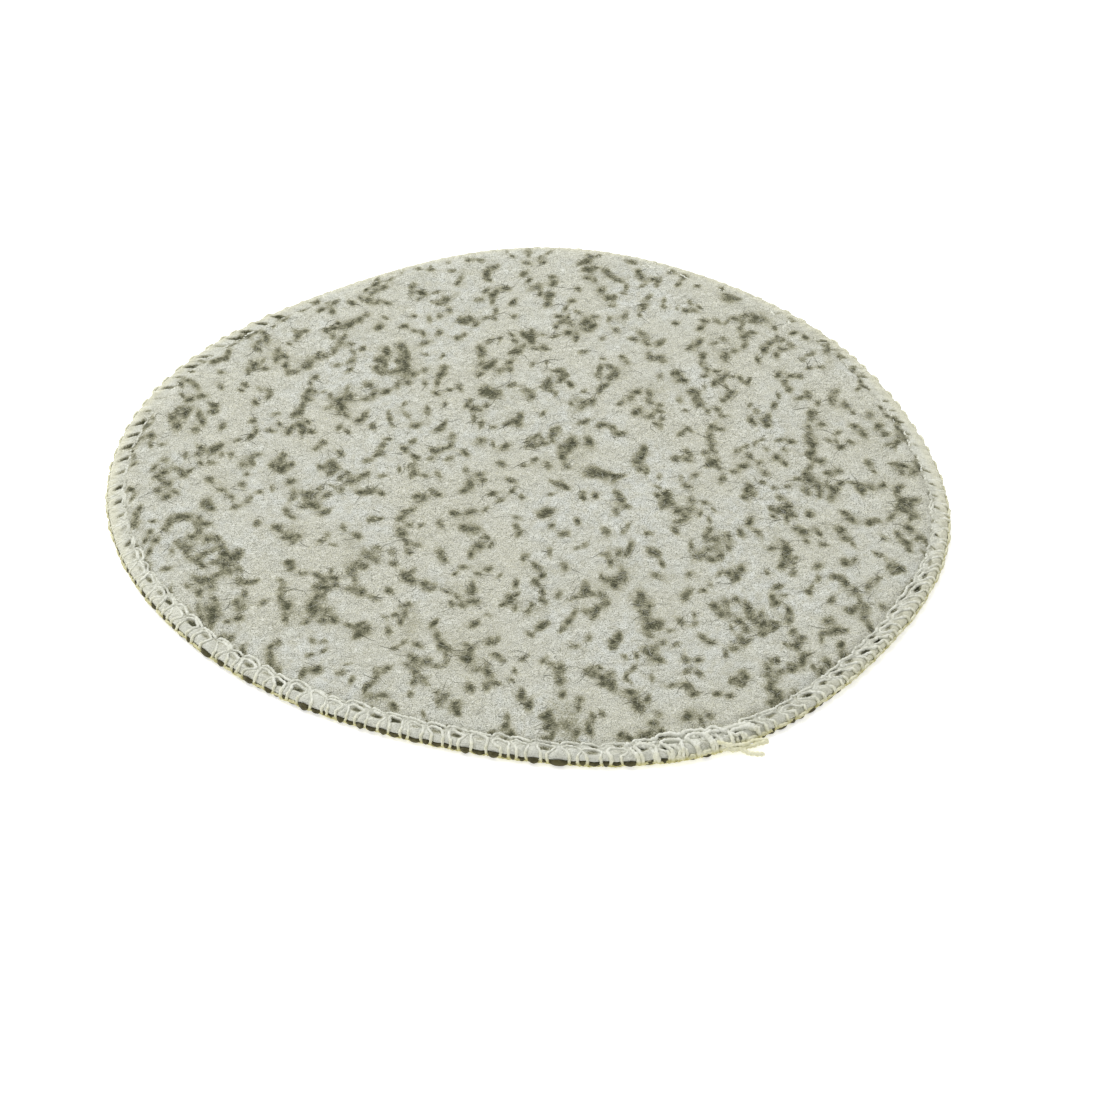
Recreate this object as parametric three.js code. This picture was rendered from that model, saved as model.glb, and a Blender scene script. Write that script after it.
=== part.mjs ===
// Felt polishing pad: two felt discs joined round their edge by a three-thread overlock seam.
// Millimetres. The origin is the centre of the flat back face and +Z points out of the working face.
import * as THREE from 'three';

// ---- Felt ----
const EDGE_RADIUS = 75.3; // mean radius of the cut felt edge
const EDGE_WAVES = [ // how the hand-cut edge leaves the circle: waves round it, height, angle of one crest
  { count: 2, height: 1.7, crest: -32 },
  { count: 3, height: 1.85, crest: 68 },
  { count: 4, height: 0.8, crest: 0 },
  { count: 5, height: 0.5, crest: 7 },
  { count: 6, height: 0.33, crest: -15 },
  { count: 7, height: 0.34, crest: -14 },
];
const EDGE_FACETS = 120; // straight runs round the edge, one to a stitch
const BACKING_THICKNESS = 1.3; // dark felt, where the seam doesn't pull it thin
const FACE_THICKNESS = 1.3; // light felt, the same
const LAYER_GAP = 0.2; // clearance between the two felts
const SEAM_WIDTH = 3.6; // how far in from the edge the seam pulls the felts thin
const PULLED_WIDTH = 6.5; // how far in from the edge the felts are back at their full thickness
const SEAM_FLOOR = 0.62; // height of the backing's underside at the seam line, clear of the lower thread
const EDGE_FLOOR = 0.85; // height of the backing's underside at the edge
const SEAM_JOIN = 1.25; // height of the backing's top, all the way along the seam
const SEAM_TOP = 2.25; // height of the working face at the seam line
const EDGE_TOP = 1.9; // height of the working face at the edge

// ---- Seam ----
const STITCHES = 120; // round the whole edge, about 4 mm apart
const THREAD_RADIUS = 0.2;
const THREAD_SIDES = 4;
const THREAD_CLEARANCE = 0.2; // between a thread and whatever it lies against
const LIFT = THREAD_RADIUS + THREAD_CLEARANCE; // from the felt to a thread's centre line
const NEEDLE_INSET = 2.8; // the needle thread's holes, in from the edge
const NEEDLE_BOW = 0.4; // how far the needle thread bows inward between its holes
const LOOPER_INSET = 1.9; // where the looper threads turn, just outside the needle holes
const ARCH_BOW = 0.2; // how far the upper looper's arch bows inward between its turns
const RIM_OVERHANG = 0.5; // from the edge out to the centre line of a thread that passes round it
const SHOULDER_RISE = 0.3; // how far above the face's edge a leg of the upper looper turns down
const HOOK_HEIGHT = 0.62; // the foot of the hook that joins two legs of the upper looper
const HOOK_CORNER_RISE = 0.2; // how much higher the hook's corners are
const LOWER_RIM_HEIGHT = 0.35; // the lower looper's centre line where it passes along the edge

// ---- Tail: thread ends left beyond the seam, where it starts and finishes ----
const TAIL_ANGLE = -63.4; // where they leave the edge, in degrees
const TAIL_LOOP_RADIUS = 0.4; // doubled thread
const TAIL_END_RADIUS = 0.28; // single thread
const TAIL_SIDES = 8;
const TAIL_STEPS = 8;

const FACE_MATERIAL = felt('#bcbcac');
const BACKING_MATERIAL = felt('#4b462f');
const THREAD_MATERIAL = new THREE.MeshStandardMaterial({ color: '#dcdac8', roughness: 0.8, metalness: 0 });

function felt(color) {
  return new THREE.MeshStandardMaterial({ color, roughness: 1, metalness: 0 });
}

// ---- The edge ----

function edgeWave(angle) {
  const heights = EDGE_WAVES.map(({ count, height, crest }) => (
    height * Math.cos(count * (angle - THREE.MathUtils.degToRad(crest)))
  ));
  return heights.reduce((total, height) => total + height, 0);
}

// A point at an angle round the pad, in from the felt's edge by inset and up from the back face by height.
function atEdge(angle, inset, height) {
  const radius = EDGE_RADIUS + edgeWave(angle) - inset;
  return new THREE.Vector3(radius * Math.cos(angle), radius * Math.sin(angle), height);
}

// The working face's height at an inset in the sloping band between the edge and the seam line.
function faceHeight(inset) {
  return EDGE_TOP + (SEAM_TOP - EDGE_TOP) * Math.min(inset / SEAM_WIDTH, 1);
}

// ---- Felt discs ----

// Turns a section, given as [inset from the edge, height] from the bottom of the axis to its top, into a disc
// whose every ring follows the hand-cut edge.
function feltDisc(section) {
  const profile = section.map(([inset, height]) => new THREE.Vector2(EDGE_RADIUS - inset, height));
  const disc = new THREE.LatheGeometry(profile, EDGE_FACETS).rotateX(Math.PI / 2);
  const position = disc.getAttribute('position');
  for (let i = 0; i < position.count; i += 1) {
    const radius = Math.hypot(position.getX(i), position.getY(i));
    if (radius > SEAM_WIDTH) {
      const angle = Math.atan2(position.getY(i), position.getX(i));
      const ring = atEdge(angle, EDGE_RADIUS - radius, position.getZ(i));
      position.setXYZ(i, ring.x, ring.y, ring.z);
    }
  }
  disc.computeVertexNormals();
  return disc;
}

function backingFelt() {
  const disc = feltDisc([
    [EDGE_RADIUS, 0],
    [PULLED_WIDTH, 0],
    [SEAM_WIDTH, SEAM_FLOOR],
    [0, EDGE_FLOOR],
    [0, SEAM_JOIN],
    [SEAM_WIDTH, SEAM_JOIN],
    [PULLED_WIDTH, BACKING_THICKNESS],
    [EDGE_RADIUS, BACKING_THICKNESS],
  ]);
  return new THREE.Mesh(disc, BACKING_MATERIAL);
}

function faceFelt() {
  const underside = BACKING_THICKNESS + LAYER_GAP;
  const top = underside + FACE_THICKNESS;
  const disc = feltDisc([
    [EDGE_RADIUS, underside],
    [PULLED_WIDTH, underside],
    [SEAM_WIDTH, SEAM_JOIN + LAYER_GAP],
    [0, SEAM_JOIN + LAYER_GAP],
    [0, EDGE_TOP],
    [SEAM_WIDTH, SEAM_TOP],
    [PULLED_WIDTH, top],
    [EDGE_RADIUS, top],
  ]);
  return new THREE.Mesh(disc, FACE_MATERIAL);
}

// ---- Seam threads ----

// A thread that runs round the whole edge and repeats once a stitch. Each waypoint is
// [stitches along the edge, inset, height].
class SeamCurve extends THREE.Curve {
  constructor(waypoints) {
    super();
    this.waypoints = waypoints;
    this.steps = STITCHES * waypoints.length;
  }

  corner(index) {
    const stitch = Math.floor(index / this.waypoints.length);
    const [along, inset, height] = this.waypoints[index - stitch * this.waypoints.length];
    return atEdge(((stitch + along) / STITCHES) * 2 * Math.PI, inset, height);
  }

  getPoint(t, target = new THREE.Vector3()) {
    const place = t * this.steps;
    const before = Math.floor(place);
    return target.lerpVectors(this.corner(before), this.corner(before + 1), place - before);
  }

  getTangent(t, target = new THREE.Vector3()) {
    const nudge = 0.1 / this.steps;
    return target.copy(this.getPoint(t + nudge)).sub(this.getPoint(t - nudge)).normalize();
  }

  getUtoTmapping(u) {
    return u;
  }
}

function seamThread(waypoints) {
  const curve = new SeamCurve(waypoints);
  const tube = new THREE.TubeGeometry(curve, curve.steps, THREAD_RADIUS, THREAD_SIDES, true);
  return new THREE.Mesh(tube, THREAD_MATERIAL);
}

// Stitches end to end from hole to hole, each bowed inward in its middle.
function needleThread() {
  const middle = NEEDLE_INSET + NEEDLE_BOW;
  return seamThread([
    [0, NEEDLE_INSET, faceHeight(NEEDLE_INSET) + LIFT],
    [0.5, middle, faceHeight(middle) + LIFT],
  ]);
}

// An arch beside each needle stitch, a leg out and down over the edge, a hook, and a leg back up.
function upperLooperThread() {
  const turnHeight = faceHeight(LOOPER_INSET) + LIFT;
  const shoulderHeight = EDGE_TOP + SHOULDER_RISE;
  const cornerHeight = HOOK_HEIGHT + HOOK_CORNER_RISE;
  return seamThread([
    [0.12, LOOPER_INSET, turnHeight],
    [0.5, LOOPER_INSET + ARCH_BOW, faceHeight(LOOPER_INSET + ARCH_BOW) + LIFT],
    [0.88, LOOPER_INSET, turnHeight],
    [0.76, -RIM_OVERHANG, shoulderHeight],
    [0.82, -RIM_OVERHANG, cornerHeight],
    [1, -RIM_OVERHANG, HOOK_HEIGHT],
    [1.18, -RIM_OVERHANG, cornerHeight],
    [1.24, -RIM_OVERHANG, shoulderHeight],
  ]);
}

// A short run under each needle hole, and a leg out to a corner beside each hook and along the edge between.
function lowerLooperThread() {
  const turnHeight = SEAM_FLOOR - LIFT;
  return seamThread([
    [-0.12, LOOPER_INSET, turnHeight],
    [0.12, LOOPER_INSET, turnHeight],
    [0.32, -RIM_OVERHANG / 2, turnHeight],
    [0.5, -RIM_OVERHANG, LOWER_RIM_HEIGHT],
    [0.68, -RIM_OVERHANG / 2, turnHeight],
  ]);
}

// ---- Tail ----

// A round thread through points given as [degrees along the edge from the tail's root, distance out, height].
function tailThread(points, radius) {
  const path = new THREE.CatmullRomCurve3(points.map(([along, out, height]) => (
    atEdge(THREE.MathUtils.degToRad(TAIL_ANGLE + along), -out, height)
  )));
  const section = new THREE.Shape().absarc(0, 0, radius, 0, 2 * Math.PI);
  const tube = new THREE.ExtrudeGeometry(section, {
    extrudePath: path,
    steps: TAIL_STEPS,
    curveSegments: TAIL_SIDES / 2, // a full arc gets twice this
    bevelEnabled: false,
  });
  return new THREE.Mesh(tube, THREAD_MATERIAL);
}

function tailLoop() {
  return tailThread([[0.2, 1.5, 1.2], [1.8, 1.6, 1.2], [3.6, 1.8, 1.2]], TAIL_LOOP_RADIUS);
}

function tailEnd() {
  return tailThread([[-0.2, 1.7, 0.35], [0.6, 2.8, 0.35], [2, 3.7, 0.35]], TAIL_END_RADIUS);
}

// ---- Assembly ----

const parts = {
  backing_felt: backingFelt(),
  face_felt: faceFelt(),
  needle_thread: needleThread(),
  upper_looper_thread: upperLooperThread(),
  lower_looper_thread: lowerLooperThread(),
  tail_loop: tailLoop(),
  tail_end: tailEnd(),
};

const group = new THREE.Group();
for (const [name, mesh] of Object.entries(parts)) {
  mesh.name = name;
  group.add(mesh);
}

export default group;
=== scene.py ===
"""Looks of the felt polishing pad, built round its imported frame.

Lengths are in millimetres until make_piece() turns them into metres. A place in the seam is given as
(along, inset, height): stitches along the edge from the +X axis, millimetres in from the felts' edge, and
millimetres up from the back face.
"""
import math

import bpy
import numpy as np
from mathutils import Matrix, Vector
from mathutils.kdtree import KDTree


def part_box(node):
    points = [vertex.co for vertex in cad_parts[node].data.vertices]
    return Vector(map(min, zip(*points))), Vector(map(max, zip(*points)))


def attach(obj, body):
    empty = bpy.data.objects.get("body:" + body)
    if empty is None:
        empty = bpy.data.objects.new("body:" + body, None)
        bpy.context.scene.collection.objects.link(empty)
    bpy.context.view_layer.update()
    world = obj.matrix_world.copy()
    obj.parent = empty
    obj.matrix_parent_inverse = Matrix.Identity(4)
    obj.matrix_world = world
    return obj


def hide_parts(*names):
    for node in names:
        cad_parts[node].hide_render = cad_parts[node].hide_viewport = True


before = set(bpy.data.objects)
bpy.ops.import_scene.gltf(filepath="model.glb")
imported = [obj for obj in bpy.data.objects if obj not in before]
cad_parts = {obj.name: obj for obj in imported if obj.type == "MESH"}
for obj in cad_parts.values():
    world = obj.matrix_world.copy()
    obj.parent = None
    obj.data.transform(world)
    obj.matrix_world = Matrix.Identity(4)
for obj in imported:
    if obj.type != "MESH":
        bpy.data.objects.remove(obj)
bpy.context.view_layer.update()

# ---- Sizes ----
MM = 0.001
STITCHES = 120  # round the whole edge
EDGE_WAVES = 7  # how many waves round the edge its outline is made of
FACE_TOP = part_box("face_felt")[1].z / MM  # height of the working face
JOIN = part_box("backing_felt")[1].z / MM  # height where the two felts meet
THREAD_RADIUS = 0.265
TAIL_LOOP_RADIUS = 0.37
TAIL_END_RADIUS = 1.15 * TAIL_LOOP_RADIUS
SEAM_STEP = 0.24  # spacing of the points along a seam thread
TAIL_STEP = 0.14  # and along a tail thread
YARN_SIDES = 10  # corners of a thread's section
PLY_TWIST = 1.5  # length of one turn of a thread's two plies
PLY_DEPTH = 0.18  # how far the plies stand out of a thread's round section, as a share of its radius
SLUB = 0.15  # how unevenly a thread is spun, as a share of its radius
SLUB_POINTS = 9  # points along a thread from one change of its thickness to the next
PILE_SWELL = 0.4  # how much thicker a thread is where the seam is sewn over its own start, the same way
BEND_SPACING = 0.9  # distance between the small bends in a thread
BENDS = (0.075, 0.075, 0.025)  # and their size along X, Y and Z
TAIL_START = -63.4 * STITCHES / 360  # where the tail leaves the seam, in stitches along the edge
OVERLAP = 5  # stitches that the seam's end is sewn over its start
SEAM_START = TAIL_START - OVERLAP + 0.3
BAND = 7.5  # width of the band where the felts bend
SEAM_BAND = 4.2  # width of its outer part, which the threads press into
RIM_SEGMENTS = 1680  # vertices round the edge, fourteen to a stitch
PRESSED = 0.3  # how far from a thread's centre line the felt is pressed in
HELD_DOWN = 0.68  # and how far from it the felt is kept from puffing up

# ---- Camera and light ----
CAMERA_ELEVATION = math.radians(39.5)
CAMERA_DISTANCE = 0.55
CAMERA_LENS = 100.0
CAMERA_TARGET = Vector((0.00328, -0.02075, 0.002))
SKY_STRENGTH = 0.62
FLOOR_HEIGHT = -0.0001  # just under the pad
FLOOR_SIZE = 3.0
FLOOR_GLOW = 0.5  # keeps the floor white up to the pad
KEY_ENERGY = 9.0
KEY_SIZE = 0.9
KEY_PLACE = Vector((-0.35, 0.45, 0.8))

SEED = 20
rng = np.random.default_rng(SEED)


# ---- The edge and the seam's coordinates ----

def read_outline():
    """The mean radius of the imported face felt's edge and the waves round it, as complex amplitudes."""
    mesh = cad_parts["face_felt"].data
    places = np.empty(len(mesh.vertices) * 3)
    mesh.vertices.foreach_get("co", places)
    x, y, _ = (places.reshape(-1, 3) / MM).T
    index = np.rint(np.arctan2(y, x) / (2 * np.pi) * STITCHES).astype(int) % STITCHES
    radius = np.zeros(STITCHES)
    np.maximum.at(radius, index, np.hypot(x, y))
    return np.fft.rfft(radius)[:EDGE_WAVES + 1] / STITCHES


OUTLINE = read_outline()
EDGE_MEAN = OUTLINE[0].real  # the edge's mean radius


def edge_radius(angle):
    """Distance from the axis to the felts' edge."""
    angle = np.asarray(angle, float)
    radius = np.full(angle.shape, EDGE_MEAN)
    for n, wave in enumerate(OUTLINE[1:], 1):
        radius += 2 * (wave * np.exp(1j * n * angle)).real
    return radius


def seam_points(places):
    """Turns rows of (along, inset, height) into points."""
    along, inset, height = np.asarray(places, float).T
    angle = along / STITCHES * 2 * np.pi
    radius = edge_radius(angle) - inset
    return np.stack([radius * np.cos(angle), radius * np.sin(angle), height], 1)


def inset_of(x, y):
    return edge_radius(np.arctan2(y, x)) - np.hypot(x, y)


# ---- Noise on a plane ----

def plane_noise(x, y, cell, seed):
    """Smooth noise from -1 to 1, with features about as wide as cell."""
    grid = np.random.default_rng(seed).uniform(-1, 1, (256, 256))
    u, v = x / cell + 97.3, y / cell + 61.7
    i, j = np.floor(u).astype(int), np.floor(v).astype(int)
    fu, fv = u - i, v - j
    fu, fv = fu * fu * (3 - 2 * fu), fv * fv * (3 - 2 * fv)
    i, j = i % 255, j % 255
    low = grid[i, j] * (1 - fu) + grid[i + 1, j] * fu
    high = grid[i, j + 1] * (1 - fu) + grid[i + 1, j + 1] * fu
    return low * (1 - fv) + high * fv


def smooth_step(low, high, value):
    t = np.clip((value - low) / (high - low), 0, 1)
    return t * t * (3 - 2 * t)


# ---- Sections of the two felts, as (inset, height) from the edge in ----

CROWN = np.array([  # the face felt's upper side
    (-0.2, 1.5), (-0.18, 1.66), (-0.08, 1.8), (0.12, 1.92), (0.5, 2.02), (1.1, 2.1), (1.9, 2.16),
    (2.7, 2.2), (3.3, 2.3), (4.2, 2.48), (5.2, 2.66), (6.2, 2.75), (BAND, FACE_TOP),
])
FACE_UNDER = np.array([  # the face felt's lower side
    (-0.2, 1.5), (-0.12, 1.42), (0.1, 1.36), (0.6, 1.32), (1.2, 1.31), (4.0, 1.31), (BAND, JOIN + 0.02),
])
BACKING_TOP = np.array([  # the backing's upper side
    (-0.42, 0.84), (-0.42, 1.1), (-0.34, 1.28), (-0.2, 1.38), (0.0, 1.35), (0.3, 1.31), (0.8, 1.29),
    (4.0, 1.28), (BAND, JOIN - 0.02),
])
BACKING_UNDER = np.array([  # the backing's lower side
    (-0.42, 0.84), (-0.38, 0.62), (-0.22, 0.45), (0.2, 0.36), (1.4, 0.38), (2.5, 0.48), (3.4, 0.42),
    (4.6, 0.2), (6.0, 0.05), (BAND, 0.0),
])


def crown(inset):
    """Height of the face felt's upper side."""
    return np.interp(inset, CROWN[:, 0], CROWN[:, 1])


# ---- Thread routes ----

INDEX = np.arange(STITCHES + OVERLAP + 1)  # every needle hole, in the order they were sewn
OVER = smooth_step(STITCHES - 1, STITCHES + 1, INDEX)  # 1 where the seam is sewn over its own start
PILE = OVER + smooth_step(OVERLAP + 1, OVERLAP - 1, INDEX)  # 1 where the two passes lie on each other
TURN = (SEAM_START + INDEX) * 2 * np.pi / STITCHES  # about where each is round the edge


def facing(bearing, low, high):
    """1 at the stitches that face a bearing, in degrees from the +X axis, and 0 away from it. low and high
    are the cosines of the angles from it between which it changes."""
    return smooth_step(low, high, np.cos(TURN - math.radians(bearing)))


LEFTNESS = facing(160, 0.72, 0.93)  # 1 along the -X side
RIGHTNESS = facing(15, 0.72, 0.93)  # 1 along the +X side
SIDENESS = LEFTNESS + RIGHTNESS  # 1 along both
SWEPT = facing(-36, 0.8, 0.94)  # 1 between the +X side and the tail
TIGHTNESS = smooth_step(-0.7, 0.5, np.sin(TURN))  # 1 along the +Y side, where the threads are drawn in flush


def stitch_values(mean, spread, over=0.0):
    """One value per needle hole, each a little different, with over more where the seam overlaps."""
    return mean + spread * np.clip(rng.standard_normal(len(INDEX)), -2, 2) + over * OVER


ALONG = SEAM_START + INDEX + stitch_values(0, 0.1, 0.45)
HOLE = stitch_values(2.5, 0.18, 0.8)  # how far in from the edge each hole is
BOW = stitch_values(3.1, 0.18, 0.8)  # how far in each needle stitch bows
ARCH = stitch_values(2.25, 0.2, 0.6) + 0.45 * SIDENESS  # and each of the upper looper's arches
WIDTH = np.minimum(stitch_values(0.4, 0.035, 0.05), 0.46)  # half an arch's width, in stitches
FOOT = np.minimum(stitch_values(0.23, 0.055, 0.08) + 0.14 * SIDENESS, 0.4)  # half its width at the edge
LEAN = stitch_values(0.05, 0.09) + 0.25 * LEFTNESS - 0.25 * RIGHTNESS + 0.4 * SWEPT  # how far its legs lean
SINK = stitch_values(0.09, 0.05) + 0.28 * TIGHTNESS + 0.03 * SIDENESS  # how far each stitch is drawn in
SINK += 0.12 * (PILE - OVER) + 0.06 * SWEPT  # and more where the second pass lies on it or it is swept
DRAWN = np.maximum.reduce([  # how far the lower looper is drawn up round the edge into a cord
    OVER, SIDENESS, SWEPT, 0.6 * smooth_step(0.8, 0.95, np.cos(TURN - 3.7)),
])
LIFT = 0.3 * OVER  # the second pass lies on the first
SWERVE = smooth_step(INDEX[-1] - 2.5, INDEX[-1], INDEX)  # 1 where the seam's end runs off the edge
HOLE -= 2.4 * SWERVE
BOW -= 2.2 * SWERVE
ARCH -= 1.8 * SWERVE


def needle_route():
    """Bowed stitches from hole to hole, and a narrow loop down through the felts at each hole."""
    places = []
    for i in INDEX[:-1]:
        a, b = ALONG[i] + 0.02, ALONG[i + 1] - 0.02
        middle = (a + b) / 2
        dip, next_dip = (crown(HOLE[k]) + LIFT[k] - 0.3 * TIGHTNESS[k] for k in (i, i + 1))
        shoulder = crown((HOLE[i] + BOW[i]) / 2) + LIFT[i] + 0.06 - SINK[i] - 0.1 * SIDENESS[i]
        places += [
            (a - 0.02, HOLE[i] - 0.3, 0.4), (a, HOLE[i] - 0.05, 0.8), (a, HOLE[i], 1.6),
            (a + 0.01, HOLE[i] + 0.08, dip - 0.2), (a + 0.06, HOLE[i] + 0.34, dip + 0.06),
            (a + 0.2, HOLE[i] * 0.15 + BOW[i] * 0.85, shoulder),
            (middle, BOW[i] * 0.9 + HOLE[i + 1] * 0.1, shoulder + 0.02),
            (b - 0.2, HOLE[i + 1] * 0.5 + BOW[i] * 0.5, shoulder),
            (b - 0.06, HOLE[i + 1] + 0.16, next_dip + 0.06), (b - 0.01, HOLE[i + 1] + 0.04, next_dip - 0.2),
            (b, HOLE[i + 1], 1.6), (b, HOLE[i + 1] - 0.05, 0.8),
        ]
    return seam_points(places)


def upper_looper_route():
    """Up a leg from the edge, over an arch beside each needle stitch, down a leg, and round a hook."""
    places = []
    for i in INDEX[:-1]:
        middle = (ALONG[i] + ALONG[i + 1]) / 2
        rise = LIFT[i] + 0.04 - SINK[i]
        out = 0.12 * OVER[i] - 0.12 * TIGHTNESS[i] - 0.1  # how much further out the legs and hooks are
        legs = []
        for side in (-1, 1):
            foot = middle + side * FOOT[i] + LEAN[i]
            shoulder = middle + side * WIDTH[i]
            knee = foot * 0.45 + shoulder * 0.55
            arch = ARCH[i] - side * 0.12
            legs.append([
                (foot + side * 0.08, -0.34 - out, 0.62),
                (foot + side * 0.02, -0.42 - out, 0.98),
                (foot, -0.36 - out, 1.46 + LIFT[i]),
                (foot, -0.04, crown(0) + 0.12 + LIFT[i] - 1.2 * SINK[i]),
                (foot + side * 0.02, 0.5, crown(0.5) + rise),
                (knee, arch - 1.1, crown(1.15) + rise),
                (middle + side * WIDTH[i] * 0.97, arch - 0.55, crown(1.8) + rise),
                (middle + side * WIDTH[i] * 0.78, arch - 0.17, crown(2.15) + rise),
                (middle + side * WIDTH[i] * 0.38, arch + 0.04, crown(2.3) + rise),
            ])
        hook = ALONG[i + 1] + LEAN[i] * 0.8
        places += legs[0] + legs[1][::-1] + [(hook, -0.02 - out - 0.55 * DRAWN[i], 0.42 + 0.65 * DRAWN[i])]
    return seam_points(places[:-1])


def lower_looper_route():
    """From under each needle hole out to the edge, along it between two hooks, and back. Where DRAWN is
    over 0, and on the +Y side, it is drawn up round the edge into a cord along it."""
    places = []
    for i in INDEX[:-1]:
        a, b = ALONG[i], ALONG[i + 1]
        foot = (a + b) / 2 + LEAN[i]
        out, up = 0.36 * DRAWN[i], max(0.75 * DRAWN[i], 1.1 * TIGHTNESS[i])
        places += [
            (a + 0.02, HOLE[i] - 0.2, 0.36), (a + 0.1, 1.5, 0.3), (a + 0.2, 0.5, 0.28),
            (foot - 0.3, 0.1 - out * 0.8, 0.34 + up * 0.5), (foot - 0.2, -0.1 - out, 0.42 + up * 0.9),
            (foot, -0.16 - out, 0.48 + up), (foot + 0.2, -0.1 - out, 0.42 + up * 0.9),
            (foot + 0.3, 0.1 - out * 0.8, 0.34 + up * 0.5), (b - 0.2, 0.5, 0.3), (b - 0.1, 1.5, 0.3),
        ]
    return seam_points(places)


def tail_points(places):
    """Points from rows of (stitches past the tail's root, inset, height)."""
    return seam_points([(TAIL_START + along, inset, height) for along, inset, height in places])


def tail_loop_route():
    """Out of the seam, round a narrow loop and back beside itself."""
    return tail_points([
        (-1.0, 0.4, 1.9), (-0.6, -0.4, 1.65), (-0.25, -1.0, 1.45), (0.11, -1.25, 1.32),
        (0.41, -1.2, 1.22), (0.7, -1.25, 1.1), (0.93, -1.54, 1.0), (1.01, -1.9, 0.94),
        (0.95, -2.18, 0.88), (0.8, -2.14, 0.85), (0.6, -1.84, 0.82), (0.36, -1.68, 0.8),
        (0.05, -1.62, 0.8), (-0.3, -1.3, 0.8), (-0.6, -0.8, 0.8), (-0.85, -0.2, 0.9),
    ])


def tail_end_route():
    return tail_points([
        (-0.7, -0.2, 1.0), (-0.42, -0.95, 0.95), (-0.14, -1.7, 0.85), (-0.01, -2.28, 0.66),
        (0.1, -2.84, 0.5), (0.3, -3.34, 0.4), (0.6, -4.0, 0.34),
    ])


# ---- Meshes ----

def smooth_route(points, spacing):
    """A Catmull-Rom curve through the points, resampled at an even spacing."""
    steps = 12
    padded = np.vstack([2 * points[0] - points[1], points, 2 * points[-1] - points[-2]])
    p0, p1, p2, p3 = padded[:-3], padded[1:-2], padded[2:-1], padded[3:]
    t = np.arange(steps)[:, None, None] / steps
    fine = 0.5 * (
        2 * p1 + (p2 - p0) * t + (2 * p0 - 5 * p1 + 4 * p2 - p3) * t ** 2
        + (3 * p1 - p0 - 3 * p2 + p3) * t ** 3
    )
    fine = np.vstack([fine.transpose(1, 0, 2).reshape(-1, 3), points[-1:]])
    length = np.concatenate([[0], np.cumsum(np.linalg.norm(np.diff(fine, axis=0), axis=1))])
    where = np.linspace(0, length[-1], int(length[-1] / spacing) + 1)
    path = np.stack([np.interp(where, length, fine[:, k]) for k in range(3)], 1)
    return path + wander(where)


def wander(where):
    """The small bends that a soft thread has along its length."""
    local = np.random.default_rng(SEED + 3)
    knots = np.arange(0, where[-1] + 2, BEND_SPACING)
    bends = [local.normal(0, size, len(knots)) for size in BENDS]
    return np.stack([np.interp(where, knots, bend) for bend in bends], 1)


def frames_along(path):
    """Two unit vectors across the path at each point, carried along it without twisting."""
    tangent = np.gradient(path, axis=0)
    tangent /= np.linalg.norm(tangent, axis=1)[:, None]
    across = np.empty_like(path)
    side = np.cross(tangent[0], (0.6, 0.0, 0.8))
    for i, along in enumerate(tangent):
        side = side - along * np.dot(side, along)
        side = side / np.linalg.norm(side)
        across[i] = side
    return across, np.cross(tangent, across)


def yarn(path, radius, seed, pile):
    """A two-ply thread swept along a path: its round section has two lobes that turn along it. It is
    thicker where pile, given evenly along it from its start to its end, is over 0."""
    across, up = frames_along(path)
    count = len(path)
    place = np.arange(count)
    turn = place * np.linalg.norm(path[1] - path[0]) / PLY_TWIST * 2 * np.pi
    knots = np.random.default_rng(seed).standard_normal(count // SLUB_POINTS + 3)
    slub = 1 + SLUB * np.interp(place / count * (len(knots) - 1), np.arange(len(knots)), knots)
    slub *= 1 + PILE_SWELL * np.interp(place / count * (len(pile) - 1), np.arange(len(pile)), pile)
    phi = np.arange(YARN_SIDES) / YARN_SIDES * 2 * np.pi
    size = radius * slub[:, None] * (1 + PLY_DEPTH * np.cos(2 * (phi[None] - turn[:, None])))
    outward = np.cos(phi)[None, :, None] * across[:, None] + np.sin(phi)[None, :, None] * up[:, None]
    vertices = (path[:, None] + size[..., None] * outward).reshape(-1, 3)
    corner = np.arange(YARN_SIDES)[None]
    ring = np.arange(count - 1)[:, None] * YARN_SIDES
    a, b = ring + corner, ring + (corner + 1) % YARN_SIDES
    quads = np.stack([a, b, b + YARN_SIDES, a + YARN_SIDES], -1).reshape(-1, 4)
    return vertices, [quads, corner[:, ::-1], corner + (count - 1) * YARN_SIDES]


def make_piece(name, vertices, faces, material, values=None):
    """A piece riding on the root. faces is a list of arrays, one row of vertex numbers for each face."""
    mesh = bpy.data.meshes.new(name)
    vertices = np.asarray(vertices) * MM
    loops = np.concatenate([np.ravel(group) for group in faces]).astype(np.int32)
    totals = np.concatenate([np.full(len(group), group.shape[1]) for group in faces]).astype(np.int32)
    starts = np.concatenate([[0], np.cumsum(totals)[:-1]]).astype(np.int32)
    mesh.vertices.add(len(vertices))
    mesh.vertices.foreach_set("co", vertices.ravel())
    mesh.loops.add(len(loops))
    mesh.loops.foreach_set("vertex_index", loops)
    mesh.polygons.add(len(totals))
    mesh.polygons.foreach_set("loop_start", starts)
    mesh.polygons.foreach_set("loop_total", totals)
    mesh.polygons.foreach_set("use_smooth", np.ones(len(totals), bool))
    for key, value in (values or {}).items():
        attribute = mesh.attributes.new(key, "FLOAT", "POINT")
        attribute.data.foreach_set("value", np.asarray(value, np.float32))
    mesh.update(calc_edges=True)
    mesh.materials.append(material)
    piece = bpy.data.objects.new(name, mesh)
    bpy.context.scene.collection.objects.link(piece)
    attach(piece, "root")
    return piece


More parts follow.
